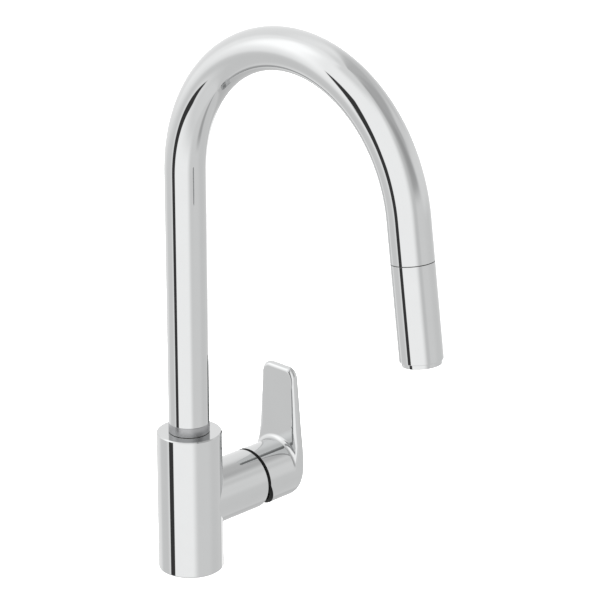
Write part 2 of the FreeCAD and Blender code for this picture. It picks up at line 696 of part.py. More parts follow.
def lever_handle():
    """The hub and blade, cast in one. A slanted notch under the hub's rim lets the lever tilt."""
    hub = rod(BRANCH_R, on_branch(HUB_X), on_branch(HUB_END_X))
    far = [e for e in hub.Edges if abs(e.BoundBox.XMin - HUB_END_X) < FIT]
    hub = hub.makeFillet(HUB_ROUND, far)
    blade = blade_outline().extrude(V(HUB_END_X, 0, 0))
    sides = plate_y([(BLADE_X, BRANCH_Z), (BLADE_X, BLADE_TOP_Z), (BLADE_TOP_X, BLADE_TOP_Z),
                     (HUB_END_X - HUB_ROUND / 4, BRANCH_Z)], 2 * BRANCH_R)
    blade = blade.common(sides)
    corners = [e for e in blade.Edges
               if abs(e.BoundBox.ZMin - BLADE_TOP_Z) < FIT and e.BoundBox.YLength < FIT]
    blade = blade.makeFillet(BLADE_CORNER_R, corners)
    root = blade_root().common(blade_outline().extrude(V(HUB_END_X, 0, 0)))
    lever = hub.fuse([blade, root]).removeSplitter()
    reach = 2 * BRANCH_R
    slant = reach * math.tan(math.radians(TILT_DEG + NOTCH_EXTRA_DEG))
    side = 2 * (STEM_HALF + FIT)
    cuts = [
        rod(HUB_BORE_R, on_branch(HUB_X - 1), on_branch(HUB_FLOOR_X)),
        plate_y([(HUB_X - 1, BRANCH_Z), (HUB_X, BRANCH_Z), (HUB_X + slant, BRANCH_Z - reach),
                 (HUB_X - 1, BRANCH_Z - reach)], reach),
        Part.makeBox(STEM_X + FIT - HUB_FLOOR_X + 1, side, side, on_branch(HUB_FLOOR_X - 1, -side / 2, -side / 2)),
        rod(GRUB_R, on_branch(GRUB_X, 0, -reach), on_branch(GRUB_X)),
        rod(PLUG_R, on_branch(GRUB_X, 0, -reach), on_branch(GRUB_X, 0, PLUG_L - BRANCH_R)),
    ]
    return lever.cut(cuts)


def lever_grub_screw():
    tip = on_branch(GRUB_X, 0, -STEM_HALF - FIT)
    head = tip - V(0, 0, GRUB_L)
    screw = rod(GRUB_R - FIT, tip, head)
    return screw.cut(hexagon(HEX_HALF, head + V(0, 0, HEX_DEEP), V(0, 0, -1), HEX_DEEP + 1))


def lever_plug():
    """Closes the grub screw's hole, flush with the hub's underside."""
    top = on_branch(GRUB_X, 0, PLUG_L - FIT - BRANCH_R)
    plug = rod(PLUG_R - FIT, on_branch(GRUB_X, 0, -BRANCH_R - 1), top)
    return plug.common(rod(BRANCH_R, on_branch(HUB_X), on_branch(HUB_END_X)))


def main():
    bush_z = BODY_H - UPPER_BUSH_L
    nodes = {
        "body_casting": body_casting(),
        "base_seal": base_seal(),
        "hose_bush": hose_bush(),
        "swivel_bush_lower": swivel_bush(SWIVEL_FLOOR_Z, LOWER_BUSH_L),
        "swivel_bush_upper": swivel_bush(bush_z, UPPER_BUSH_L),
        "spout_stop_screw": stop_screw(),
        "spout_foot": spout_foot(),
        "spout_o_ring": spout_o_ring(),
        "swivel_collar": swivel_collar(),
        "spout_tube": spout_tube(),
        "hose_dock": hose_dock(),
        "spray_hose": spray_hose(),
        "hose_ferrule": hose_ferrule(),
        "hose_tail": hose_tail(),
        "hose_nut": hose_nut(),
        "inlet_washer": inlet_washer(),
        "spray_neck": spray_neck(),
        "spray_core": spray_core(),
        "core_o_ring": core_o_ring(),
        "check_valve": check_valve(),
        "spray_shell": spray_shell(),
        "outlet_ring": outlet_ring(),
        "aerator_housing": aerator_housing(),
        "aerator_screen": aerator_screen(),
        "flow_limiter": flow_limiter(),
        "cartridge_base": cartridge_base(),
        "cartridge_port_seals": port_seals(),
        "ceramic_disc_fixed": fixed_disc(),
        "ceramic_disc_moving": moving_disc(),
        "disc_carrier": disc_carrier(),
        "cartridge_housing": cartridge_housing(),
        "cartridge_rotor": cartridge_rotor(),
        "stem_pin": stem_pin(),
        "cartridge_nut": cartridge_nut(),
        "cartridge_dome": cartridge_dome(),
        "lever_stem": lever_stem(),
        "lever_handle": lever_handle(),
        "lever_grub_screw": lever_grub_screw(),
        "lever_plug": lever_plug(),
    }
    os.makedirs("parts", exist_ok=True)
    for name, shape in nodes.items():
        shape.exportStep("parts/" + name + ".step")
        print(name, len(shape.Solids), shape.isValid(), round(shape.Volume))


main()
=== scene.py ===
import json
import math

import bpy
import numpy as np
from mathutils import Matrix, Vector


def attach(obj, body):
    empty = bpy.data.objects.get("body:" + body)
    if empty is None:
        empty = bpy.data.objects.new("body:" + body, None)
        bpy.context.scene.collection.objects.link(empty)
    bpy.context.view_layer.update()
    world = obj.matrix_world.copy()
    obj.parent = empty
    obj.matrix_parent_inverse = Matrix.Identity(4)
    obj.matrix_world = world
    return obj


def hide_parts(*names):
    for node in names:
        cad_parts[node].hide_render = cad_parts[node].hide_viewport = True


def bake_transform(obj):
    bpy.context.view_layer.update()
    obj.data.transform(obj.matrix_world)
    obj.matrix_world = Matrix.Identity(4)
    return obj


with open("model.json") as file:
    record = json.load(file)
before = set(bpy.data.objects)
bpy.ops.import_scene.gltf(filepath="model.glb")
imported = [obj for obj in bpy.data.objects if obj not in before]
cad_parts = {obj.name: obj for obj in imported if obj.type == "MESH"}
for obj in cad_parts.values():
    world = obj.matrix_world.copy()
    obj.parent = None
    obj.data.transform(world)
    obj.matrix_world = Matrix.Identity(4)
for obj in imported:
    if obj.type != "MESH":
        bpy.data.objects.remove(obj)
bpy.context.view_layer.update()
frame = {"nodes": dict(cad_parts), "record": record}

# Sizes in millimetres, in the row frame: +Z up, the spout reaches towards -Y, the lever is on the +X side.

MM = 0.001
BODY_R = 25.0
BODY_TOP = 112.1
BODY_EDGE = 0.8
RECESS_R = 21.0
RECESS_D = 3.0
GROOVE_OUT_R = 23.7
GROOVE_IN_R = 22.1
GROOVE_D = 1.5
BUSH_LIP_R = 8.65
SWIVEL_BORE_R = 15.0
SWIVEL_FLOOR_Z = 78.0
BUSH_BORE_END_Z = 18.0
STOP_Z = 95.5
STOP_R = 2.5
STOP_HOLE_END_Y = 18.0
HOLE_LIP = 0.3

BRANCH_R = 23.7
BRANCH_Z = 53.3
BRANCH_END_X = 61.0
MOUTH_START_X = BRANCH_END_X - 1.0
THREAD_R = 20.35
THREAD_END_X = BRANCH_END_X - 14.0
SADDLE_R = 1.1

COLLAR_LOW = 112.4
COLLAR_BORE_R = SWIVEL_BORE_R - 1.0
TUBE_LOW = 119.7
COLLAR_TOP = TUBE_LOW - 0.05
TUBE_R = 15.65
TUBE_BORE_R = 14.3
RISER_TOP = 317.6
ARC_R = 111.5
ARC_ANGLE = math.radians(172.1)
ARC_L = ARC_R * ARC_ANGLE
OUTLET_L = 30.2
JOINT_S = RISER_TOP + ARC_L + OUTLET_L

SEAM = 0.5
SHELL_END = 69.6
SHELL_BORE_R = 14.4
OUTLET_R = 14.2
HEAD_END = 73.1
MOUTH_R = 10.4
AERATOR_POCKET_R = 12.25
AERATOR_POCKET_S = 72.0

DOME_R = 20.2
DOME_IN_R = 18.7
DOME_X = 56.0
DOME_SKIRT_X = DOME_X + 0.3
DOME_SKIRT_END_X = 60.7
DOME_SKIRT_R = 20.3
DOME_MOUTH_R = 13.5

HUB_X = 62.8
HUB_END_X = 103.5
HUB_ROUND = 8.5
HUB_BORE_R = 20.9
HUB_FLOOR_X = 77.2
RIM_LIP = 0.3
RIM_BEVEL = 1.3
NOTCH = math.radians(23.0)
BLADE_X = 94.0
BLADE_TOP_DZ = 86.2
BLADE_TOP_X = 99.5
BLADE_ROOT_X = 101.375
BLADE_ROOT_R = 4.0
TAPER = math.radians(4.65)
CORNER_R = 8.5
EDGE_OUT = 1.3          # rounding of the blade's outer edge
EDGE_IN = 3.6           # how far the inner edge's rounding reaches in at the blade's top
EDGE_GROWTH = 3.0       # how much more it reaches in at the blade's root
EDGE_DEPTH = 3.0        # how far that rounding goes back
EDGE_SHARE = 0.55       # the most of the blade's overhang past the hub that it takes
GROWTH_EASE = (25.0, 80.0)      # heights over the branch's axis that the growth fades between
FACE_EASE = (-2.0, 34.0)        # the same, from the hub's flat end to the blade's slope
OUTER_EASE = (-14.0, 34.0)      # the same, from the hub's big outer rounding to the blade's small one
PLUG_X = 88.0
PLUG_R = 3.15

HOSE_R = 6.0
HOSE_BORE_R = 4.0
HOSE_FOOT_S = 3.0
HOSE_END = -14.8

X_AXIS = np.array([1.0, 0.0, 0.0])
Y_AXIS = np.array([0.0, 1.0, 0.0])
Z_AXIS = np.array([0.0, 0.0, 1.0])
BRANCH_CENTRE = np.array([0.0, 0.0, BRANCH_Z])


# Mesh kit: patches of quads with the true normal at each corner, joined into one mesh

def smoothstep(low, high, value):
    t = np.clip((value - low) / (high - low), 0.0, 1.0)
    return t * t * (3.0 - 2.0 * t)


def unit(vectors):
    length = np.linalg.norm(vectors, axis=-1, keepdims=True)
    return vectors / np.maximum(length, 1e-12)


class Skin:
    """Collects patches of quads in millimetres and joins them where their points meet."""

    def __init__(self):
        self.points = []
        self.normals = []
        self.uvs = []
        self.paints = []

    def patch(self, points, normals, uv=None, paint=0):
        """Adds a grid of points, shaped (rows, columns, 3), with the surface's outward normals."""
        def corners(grid):
            quad = (grid[:-1, :-1], grid[:-1, 1:], grid[1:, 1:], grid[1:, :-1])
            return np.stack(quad, axis=2).reshape(-1, 4, grid.shape[-1])
        p = corners(np.asarray(points, float))
        n = corners(np.asarray(normals, float))
        t = np.zeros((len(p), 4, 2)) if uv is None else corners(uv)
        facing = np.cross(p[:, 2] - p[:, 0], p[:, 3] - p[:, 1])
        back = np.sum(facing * n.sum(axis=1), axis=1) < 0
        p[back] = p[back][:, ::-1]
        n[back] = n[back][:, ::-1]
        t[back] = t[back][:, ::-1]
        self.points.append(p)
        self.normals.append(n)
        self.uvs.append(t)
        self.paints.append(np.full(len(p), paint))

    def build(self, name, body, materials, replaced=()):
        """Makes the object, and rides it on its body. A collapsed quad becomes a triangle or is dropped."""
        p = np.concatenate(self.points).reshape(-1, 3)
        n = unit(np.concatenate(self.normals).reshape(-1, 3))
        uv = np.concatenate(self.uvs).reshape(-1, 2)
        keys = np.round(p * 1e4 + 0.25).astype(np.int64)
        _, first, index = np.unique(keys, axis=0, return_index=True, return_inverse=True)
        index = index.reshape(-1, 4)
        paints = np.concatenate(self.paints).tolist()
        faces = []
        loops = []
        shades = []
        for quad, start in zip(index.tolist(), range(0, len(p), 4)):
            keep = [i for i in range(4) if quad[i] != quad[i - 1]]
            if len(keep) > 2 and len(set(quad[i] for i in keep)) == len(keep):
                faces.append([quad[i] for i in keep])
                loops.extend(start + i for i in keep)
                shades.append(paints[start // 4])
        mesh = bpy.data.meshes.new(name)
        mesh.from_pydata((p[first] * MM).tolist(), [], faces)
        mesh.polygons.foreach_set("use_smooth", np.ones(len(faces), bool))
        mesh.normals_split_custom_set(n[loops].tolist())
        layer = mesh.uv_layers.new(name="along")
        layer.data.foreach_set("uv", uv[loops].astype(np.float32).ravel())
        for material in materials:
            mesh.materials.append(material)
        mesh.polygons.foreach_set("material_index", np.array(shades, np.int32))
        mesh.update()
        piece = bpy.data.objects.new(name, mesh)
        bpy.context.scene.collection.objects.link(piece)
        if body:
            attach(piece, body)
        if replaced:
            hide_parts(*replaced)
        return piece


def rounded(corners, steps=5):
    """Rounds a path of (r, s, rounding) corners. Returns rows of (r, s, normal r, normal s), with the normals
    on the right of the path."""
    path = [np.array(c[:2], float) for c in corners]
    rows = []
    for i, point in enumerate(path):
        into = unit(point - path[i - 1]) if i else unit(path[1] - point)
        out = unit(path[i + 1] - point) if i < len(path) - 1 else into
        n0 = np.array([into[1], -into[0]])
        n1 = np.array([out[1], -out[0]])
        turn = into[0] * out[1] - into[1] * out[0]
        radius = corners[i][2] if len(corners[i]) > 2 else 0.0
        angle = math.acos(max(-1.0, min(1.0, float(np.dot(into, out)))))
        if radius and angle > 1e-6:
            side = 1.0 if turn > 0 else -1.0
            centre = point - into * radius * math.tan(angle / 2) - n0 * radius * side
            for k in range(steps + 1):
                a = angle * k / steps
                n = (n0 * math.sin(angle - a) + n1 * math.sin(a)) / math.sin(angle)
                rows.append([*(centre + n * radius * side), *n])
        else:
            rows.append([*point, *n0])
            if angle > 1e-6:
                rows.append([*point, *n1])
    return np.array(rows)


def arc_rows(centre_s, radius, start, end, steps, inside=False):
    """Rows of a path round a point on the axis, by the angle from +s towards +r, in degrees."""
    angles = np.radians(np.linspace(start, end, steps + 1))
    normal = np.stack([np.sin(angles), np.cos(angles)], axis=1)
    place = normal * radius + np.array([0.0, centre_s])
    return np.concatenate([place, -normal if inside else normal], axis=1)


def straight(origin, u, v, axis):
    """A place function for turning a profile about a straight axis."""
    def place(s):
        s = np.asarray(s, float)[:, None]
        shape = np.ones_like(s)
        return origin + s * axis, shape * u, shape * v, shape * axis
    return place


def along_spout(s):
    """The spout's centre line: up the riser, round the arc, and on along the outlet and the spray head."""
    s = np.asarray(s, float)
    angle = np.clip((s - RISER_TOP) / ARC_R, 0.0, ARC_ANGLE)
    riser = np.minimum(s, RISER_TOP)
    beyond = np.maximum(s - RISER_TOP - ARC_L, 0.0)
    zero = np.zeros_like(s)
    axis = np.stack([zero, -np.sin(angle), np.cos(angle)], axis=-1)
    y = -ARC_R * (1.0 - np.cos(angle))
    z = riser + ARC_R * np.sin(angle)
    centre = np.stack([zero, y, z], axis=-1) + beyond[:, None] * axis
    u = np.broadcast_to(X_AXIS, axis.shape)
    return centre, u, np.cross(axis, u), axis


def on_head(s):
    """The same line, measured from the joint plane of the spray head."""
    return along_spout(np.asarray(s, float) + JOINT_S)


def turn(skin, rows, place, angles=None, segments=96, paint=0):
    """Turns profile rows about an axis, straight or bent."""
    if angles is None:
        angles = np.linspace(0.0, 2.0 * math.pi, segments + 1)
    centre, u, v, axis = (a[:, None, :] for a in place(rows[:, 1]))
    out = np.cos(angles)[None, :, None] * u + np.sin(angles)[None, :, None] * v
    points = centre + rows[:, 0][:, None, None] * out
    normals = rows[:, 2][:, None, None] * out + rows[:, 3][:, None, None] * axis
    u_turns, v_metres = np.meshgrid(angles / (2.0 * math.pi), rows[:, 1] * MM)
    skin.patch(points, normals, np.stack([u_turns, v_metres], axis=-1), paint)


def refined(rows, step):
    """Adds rows along the straight parts of a profile, so that it can follow a bend."""
    out = [rows[0]]
    for a, b in zip(rows[:-1], rows[1:]):
        count = max(1, int(math.ceil(abs(b[1] - a[1]) / step)))
        out.extend(a + (b - a) * k / count for k in range(1, count + 1))
    return np.array(out)


UPRIGHT = straight(np.zeros(3), X_AXIS, Y_AXIS, Z_AXIS)
SIDEWAYS = straight(BRANCH_CENTRE, Z_AXIS, Y_AXIS, X_AXIS)
PAINTED_SHADE_SLOT = 1                # the second material of a chrome casting, painted near-black as shade, for its inside and the hub's rim


# Node kit for the procedural materials

class Nodes:
    def __init__(self, tree):
        tree.nodes.clear()
        self.tree = tree

    def add(self, kind, **settings):
        node = self.tree.nodes.new(kind)
        for key, value in settings.items():
            setattr(node, key, value)
        return node

    def link(self, source, target):
        self.tree.links.new(source, target)

    def feed(self, socket, value):
        if hasattr(value, "is_output"):
            self.link(value, socket)
        else:
            socket.default_value = value

    def math(self, operation, a, b=0.0, c=0.0):
        node = self.add("ShaderNodeMath", operation=operation)
        for socket, value in zip(node.inputs, (a, b, c)):
            self.feed(socket, value)
        return node.outputs[0]

    def ramp(self, value, low, high, to_low=0.0, to_high=1.0, smooth=True):
        kind = "SMOOTHSTEP" if smooth else "LINEAR"
        node = self.add("ShaderNodeMapRange", interpolation_type=kind)
        for socket, item in zip(node.inputs, (value, low, high, to_low, to_high)):
            self.feed(socket, item)
        return node.outputs[0]

    def object_point(self):
        return self.add("ShaderNodeTexCoord").outputs["Object"]

    def noise(self, vector, scale, detail=2.0, rough=0.5):
        node = self.add("ShaderNodeTexNoise")
        self.link(vector, node.inputs["Vector"])
        node.inputs["Scale"].default_value = scale
        node.inputs["Detail"].default_value = detail
        node.inputs["Roughness"].default_value = rough
        return node.outputs["Fac"]

    def split(self, vector):
        node = self.add("ShaderNodeSeparateXYZ")
        self.link(vector, node.inputs[0])
        return node.outputs

    def join(self, x, y, z):
        node = self.add("ShaderNodeCombineXYZ")
        for socket, value in zip(node.inputs, (x, y, z)):
            self.feed(socket, value)
        return node.outputs[0]

    def tint(self, factor, first, second):
        node = self.add("ShaderNodeMix", data_type="RGBA")
        self.feed(node.inputs["Factor"], factor)
        colours = [s for s in node.inputs if s.type == "RGBA"]
        colours[0].default_value = (*first, 1.0)
        colours[1].default_value = (*second, 1.0)
        return [s for s in node.outputs if s.type == "RGBA"][0]

    def bump(self, height, distance, strength=1.0):
        node = self.add("ShaderNodeBump")
        node.inputs["Strength"].default_value = strength
        node.inputs["Distance"].default_value = distance
        self.link(height, node.inputs["Height"])
        return node.outputs["Normal"]

    def surface(self, colour, rough, metallic=0.0, bump=None, **sockets):
        shader = self.add("ShaderNodeBsdfPrincipled")
        out = self.add("ShaderNodeOutputMaterial")
        value = (*colour, 1.0) if isinstance(colour, tuple) else colour
        self.feed(shader.inputs["Base Color"], value)
        self.feed(shader.inputs["Roughness"], rough)
        shader.inputs["Metallic"].default_value = metallic
        for name, item in sockets.items():
            shader.inputs[name.replace("_", " ")].default_value = item
        if bump is not None:
            self.link(bump, shader.inputs["Normal"])
        self.link(shader.outputs[0], out.inputs["Surface"])


def new_material(name):
    material = bpy.data.materials.new(name)
    material.use_nodes = True
    return material, Nodes(material.node_tree)


# Materials

def chrome():
    """Polished chrome plate: a faint waviness under the plating and slightly uneven gloss from wiping."""
    material, n = new_material("polished_chrome")
    point = n.object_point()
    wiped = n.noise(point, 55.0, 4.0, 0.6)
    grain = n.noise(point, 2600.0, 2.0)
    mixed = n.math("MULTIPLY_ADD", grain, 0.25, wiped)
    rough = n.ramp(mixed, 0.35, 0.95, 0.016, 0.042)
    colour = n.tint(wiped, (0.545, 0.551, 0.553), (0.565, 0.571, 0.572))
    waves = n.noise(point, 38.0, 1.0)
    n.surface(colour, rough, 1.0, n.bump(waves, 0.00002, 0.25))
    return material


def satin():
    """Satin chrome, brushed round the spout: fine lines that run level."""
    material, n = new_material("satin_chrome")
    x, y, z = n.split(n.object_point())
    around = n.math("ARCTAN2", y, x)
    lines = n.noise(n.join(n.math("MULTIPLY", around, 0.004), 0.0, z), 9000.0, 3.0, 0.65)
    rough = n.ramp(lines, 0.3, 0.7, 0.24, 0.36)
    colour = n.tint(lines, (0.31, 0.313, 0.32), (0.39, 0.393, 0.40))
    n.surface(colour, rough, 1.0, n.bump(lines, 0.00004, 0.5))
    return material


def machined(name, dark, light, low_rough, high_rough):
    """Turned metal with fine tool marks and uneven tarnish."""
    material, n = new_material(name)
    point = n.object_point()
    marks = n.noise(point, 3200.0, 3.0, 0.6)
    patches = n.noise(point, 90.0, 3.0, 0.55)
    rough = n.ramp(patches, 0.3, 0.7, low_rough, high_rough)
    n.surface(n.tint(patches, dark, light), rough, 1.0, n.bump(marks, 0.00003, 0.4))
    return material


def moulded(name, dark, light, rough, grain, depth=0.00003):
    """Moulded plastic or rubber with the mould's fine spark texture and a slightly uneven tone."""
    material, n = new_material(name)
    point = n.object_point()
    texture = n.noise(point, grain, 3.0, 0.6)
    tone = n.noise(point, 60.0, 2.0)
    gloss = n.ramp(texture, 0.3, 0.7, rough - 0.07, rough + 0.07)
    n.surface(n.tint(tone, dark, light), gloss, 0.0, n.bump(texture, depth, 0.6))
    return material


def shadow_black():
    """Painted shade: a dull near-black that gives almost no light back, laid on the inside of the bores and
    on the hub's rim where they fall into shade.
    """
    material, n = new_material("painted_shade_black")
    point = n.object_point()
    speck = n.noise(point, 1500.0, 3.0, 0.6)
    gloss = n.ramp(speck, 0.3, 0.7, 0.35, 0.6)
    colour = n.tint(speck, (0.002, 0.002, 0.002), (0.006, 0.006, 0.006))
    n.surface(colour, gloss, 0.0, n.bump(speck, 0.00008, 0.5), Specular_IOR_Level=0.08)
    return material


def ceramic():
    """Lapped alumina: very smooth, cream white, with faint grey grain."""
    material, n = new_material("lapped_ceramic")
    point = n.object_point()
    grain = n.noise(point, 4200.0, 2.0)
    cloud = n.noise(point, 140.0, 3.0)
    rough = n.ramp(grain, 0.3, 0.7, 0.10, 0.18)
    n.surface(n.tint(cloud, (0.82, 0.81, 0.77), (0.90, 0.89, 0.86)), rough, 0.0,
              n.bump(grain, 0.00001, 0.3))
    return material


STRANDS = 24.0          # in each direction, round the hose
BRAID_LAY = 0.036       # metres along the hose for one turn of a strand


def braid():
    """Braided nylon round the hose: two sets of strands that cross over and under."""
    material, n = new_material("nylon_braid")
    u, v, _ = n.split(n.add("ShaderNodeUVMap", uv_map="along").outputs[0])
    turns = n.math("MULTIPLY", u, STRANDS)
    climb = n.math("MULTIPLY", v, STRANDS / BRAID_LAY)
    one = n.math("FRACT", n.math("ADD", turns, climb))
    two = n.math("FRACT", n.math("SUBTRACT", turns, climb))

    def strand(phase):
        centre = n.math("ABSOLUTE", n.math("SUBTRACT", phase, 0.5))
        drop = n.math("MULTIPLY", centre, centre)
        return n.math("SQRT", n.math("MAXIMUM", n.math("SUBTRACT", 0.25, drop), 0.0))

    over = n.math("MULTIPLY", n.math("SINE", n.math("MULTIPLY", turns, math.pi)), 0.2)
    height = n.math("MAXIMUM", n.math("ADD", strand(one), over), n.math("SUBTRACT", strand(two), over))
    fibres = n.noise(n.join(n.math("MULTIPLY", u, 3.0), v, 0.0), 700.0, 2.0)
    # Painted shade: the colour darkens in the low gaps between the strands, and also varies with the fibres.
    painted_gap_shade_and_fibres = n.ramp(n.math("MULTIPLY_ADD", fibres, 0.2, height), 0.25, 0.75)
    rough = n.ramp(fibres, 0.3, 0.7, 0.42, 0.6)
    n.surface(n.tint(painted_gap_shade_and_fibres, (0.035, 0.035, 0.038), (0.17, 0.17, 0.18)), rough, 0.0,
              n.bump(height, 0.0006, 0.8), Sheen_Weight=0.15)
    return material


CHROME = chrome()
SATIN = satin()
# Painted shade: near-black for the dark insides of the chrome castings and the hub's rim.
PAINTED_SHADE = shadow_black()
BLACK = moulded("black_plastic", (0.012, 0.012, 0.013), (0.022, 0.022, 0.024), 0.42, 2400.0)
PAINTS = {
    "chrome": CHROME,
    "satin_chrome": SATIN,
    "brass": machined("machined_brass", (0.50, 0.36, 0.15), (0.62, 0.47, 0.23), 0.22, 0.38),
    "steel": machined("turned_steel", (0.40, 0.40, 0.41), (0.50, 0.50, 0.51), 0.20, 0.34),
    "black_plastic": BLACK,
    "grey_plastic": moulded("grey_plastic", (0.30, 0.31, 0.32), (0.36, 0.37, 0.38), 0.38, 2000.0),
    "white_plastic": moulded("white_plastic", (0.74, 0.74, 0.71), (0.82, 0.82, 0.79), 0.34, 1800.0),
    "rubber": moulded("black_rubber", (0.014, 0.014, 0.014), (0.026, 0.026, 0.026), 0.66, 1500.0, 0.00006),
    "ceramic": ceramic(),
    "hose_braid": braid(),
}


def paint_cad_nodes():
    """Gives every CAD piece that stays in the scene the procedural material of its slot."""
    for entry in frame["record"]["subparts"]:
        node = frame["nodes"][entry["node"]]
        for holder in node.material_slots:
            holder.link = "OBJECT"
            holder.material = PAINTS[entry["material_slot"]]


# Body: a column with a side branch, one casting

# The column's mesh is in degrees and heights, with a rectangle left out for the branch and one for the screw.
COLUMN_STEP = 3
HOLE_HALF = 84
HOLE_LOW = 22.0
HOLE_HIGH = 85.0
HOLE_ROWS = 30
SCREW_HALF = 12
SCREW_REACH = 4.0
SCREW_ROWS = 8


def on_column(degrees, z, radius=BODY_R):
    """Points and normals on the column, from angles in degrees and heights."""
    angle = np.radians(degrees)
    out = np.stack([np.cos(angle), np.sin(angle), np.zeros_like(angle)], axis=-1)
    return out * radius + np.asarray(z, float)[..., None] * Z_AXIS, out


def column_band(skin, start, end, heights):
    degrees = np.arange(start, end + 1, COLUMN_STEP, dtype=float)
    d, z = np.meshgrid(degrees, heights)
    skin.patch(*on_column(d, z))


def frame_points(low, high, bottom, top, rows):
    """Angles and heights round a rectangle on the column, once round, back to the first."""
    d = np.arange(low, high + 1, COLUMN_STEP, dtype=float)
    z = np.linspace(bottom, top, rows + 1)
    sides = [
        (d, np.full_like(d, top)),
        (np.full_like(z, high), z[::-1]),
        (d[::-1], np.full_like(d, bottom)),
        (np.full_like(z, low), z),
    ]
    angle = np.concatenate([s[0][:-1] for s in sides] + [d[:1]])
    height = np.concatenate([s[1][:-1] for s in sides] + [[top]])
    return angle, height


def bridge(skin, outer, inner, rows):
    """Fills the column between a rectangle and a hole inside it."""
    t = np.linspace(0.0, 1.0, rows + 1)[:, None]
    skin.patch(*on_column(outer[0] + (inner[0] - outer[0]) * t, outer[1] + (inner[1] - outer[1]) * t))


def branch_saddle(skin):
    """The branch and the small rolled fillet where it meets the column. Returns the branch's angles."""
    outer = frame_points(-HOLE_HALF, HOLE_HALF, HOLE_LOW, HOLE_HIGH, HOLE_ROWS)
    reach = (HOLE_HIGH - HOLE_LOW) / 2
    phi = np.unwrap(np.arctan2(outer[0] / HOLE_HALF, (outer[1] - BRANCH_Z) / reach))
    round_branch = np.stack([np.zeros_like(phi), np.sin(phi), np.cos(phi)], axis=1)
    ball = round_branch * (BRANCH_R + SADDLE_R)
    ball[:, 0] = np.sqrt((BODY_R + SADDLE_R) ** 2 - ball[:, 1] ** 2)
    round_column = unit(ball * np.array([1.0, 1.0, 0.0]))
    contact_deg = np.degrees(np.arctan2(ball[:, 1], ball[:, 0]))
    bridge(skin, outer, (contact_deg, ball[:, 2] + BRANCH_Z), 8)
    angle = np.arccos(np.clip(np.sum(round_column * round_branch, axis=1), -1.0, 1.0))
    points = []
    normals = []
    for t in np.linspace(0.0, 1.0, 7):
        blend = round_column * np.sin((1 - t) * angle)[:, None] + round_branch * np.sin(t * angle)[:, None]
        normal = unit(blend)
        points.append(ball - normal * SADDLE_R + BRANCH_CENTRE)
        normals.append(normal)
    skin.patch(np.array(points), np.array(normals))
    start = points[-1]
    end = round_branch * BRANCH_R + BRANCH_CENTRE
    end[:, 0] = MOUTH_START_X
    t = np.linspace(0.0, 1.0, 13)[:, None, None]
    shape = np.ones_like(t)
    skin.patch(start + (end - start) * t, round_branch * shape)
    return phi


def stop_screw_hole(skin):
    """The threaded hole in the column's back, for the screw that limits the swivel."""
    low, high = 90 - SCREW_HALF, 90 + SCREW_HALF
    outer = frame_points(low, high, STOP_Z - SCREW_REACH, STOP_Z + SCREW_REACH, SCREW_ROWS)
    phi = np.arctan2((90.0 - outer[0]) / SCREW_HALF, (outer[1] - STOP_Z) / SCREW_REACH)
    ring = np.stack([np.sin(phi), np.zeros_like(phi), np.cos(phi)], axis=1)
    lip = ring * (STOP_R + HOLE_LIP)
    degrees = 90.0 - np.degrees(np.arcsin(lip[:, 0] / BODY_R))
    bridge(skin, outer, (degrees, STOP_Z + lip[:, 2]), 4)
    edge, edge_normal = on_column(degrees, STOP_Z + lip[:, 2])
    wall = ring * STOP_R + STOP_Z * Z_AXIS
    depths = (edge[:, 1] - HOLE_LIP, np.full_like(phi, STOP_HOLE_END_Y))
    inner = [wall + depth[:, None] * Y_AXIS for depth in depths]
    slope = unit(edge_normal - ring)
    skin.patch(np.array([edge, inner[0]]), np.array([slope, slope]))
    skin.patch(np.array(inner), np.array([-ring, -ring]))
    cap = np.array([inner[1], inner[1] * np.array([0.0, 1.0, 0.0]) + STOP_Z * Z_AXIS])
    skin.patch(cap, np.broadcast_to(Y_AXIS, cap.shape))


def body():
    skin = Skin()
    full = (-HOLE_HALF, 360 - HOLE_HALF)
    edge_top = BODY_TOP - BODY_EDGE
    screw_low = STOP_Z - SCREW_REACH
    screw_high = STOP_Z + SCREW_REACH
    angles = np.radians(np.arange(full[0], full[1] + 1, COLUMN_STEP, dtype=float))
    foot = rounded([
        (BUSH_LIP_R, BUSH_BORE_END_Z), (BUSH_LIP_R, RECESS_D), (RECESS_R, RECESS_D), (RECESS_R, 0.0, 0.3),
        (GROOVE_IN_R, 0.0), (GROOVE_IN_R, GROOVE_D), (GROOVE_OUT_R, GROOVE_D), (GROOVE_OUT_R, 0.0),
        (BODY_R - BODY_EDGE, 0.0), (BODY_R, BODY_EDGE, 0.3), (BODY_R, HOLE_LOW)])
    head = rounded([
        (BODY_R, screw_high), (BODY_R, edge_top, 0.15), (BODY_R - BODY_EDGE, BODY_TOP, 0.15),
        (SWIVEL_BORE_R, BODY_TOP, 0.2), (SWIVEL_BORE_R, SWIVEL_FLOOR_Z), (BUSH_LIP_R, SWIVEL_FLOOR_Z),
        (BUSH_LIP_R, BUSH_BORE_END_Z)])
    turn(skin, foot, UPRIGHT, angles)
    turn(skin, head, UPRIGHT, angles)
    column_band(skin, HOLE_HALF, full[1], np.linspace(HOLE_LOW, HOLE_HIGH, HOLE_ROWS + 1))
    column_band(skin, *full, [HOLE_HIGH, screw_low])
    rows = np.linspace(screw_low, screw_high, SCREW_ROWS + 1)
    column_band(skin, full[0], 90 - SCREW_HALF, rows)
    column_band(skin, 90 + SCREW_HALF, full[1], rows)
    stop_screw_hole(skin)
    phi = branch_saddle(skin)
    mouth = rounded([(BRANCH_R, MOUTH_START_X), (BRANCH_R, BRANCH_END_X, 0.35), (THREAD_R, BRANCH_END_X)])
    bore = rounded([(THREAD_R, BRANCH_END_X), (THREAD_R, THREAD_END_X), (0.0, THREAD_END_X)])
    turn(skin, mouth, SIDEWAYS, phi)
    # The thread's bore is painted near-black as shade.
    turn(skin, bore, SIDEWAYS, phi, paint=PAINTED_SHADE_SLOT)
    skin.build("body_shell", "body", [CHROME, PAINTED_SHADE], ["body_casting"])


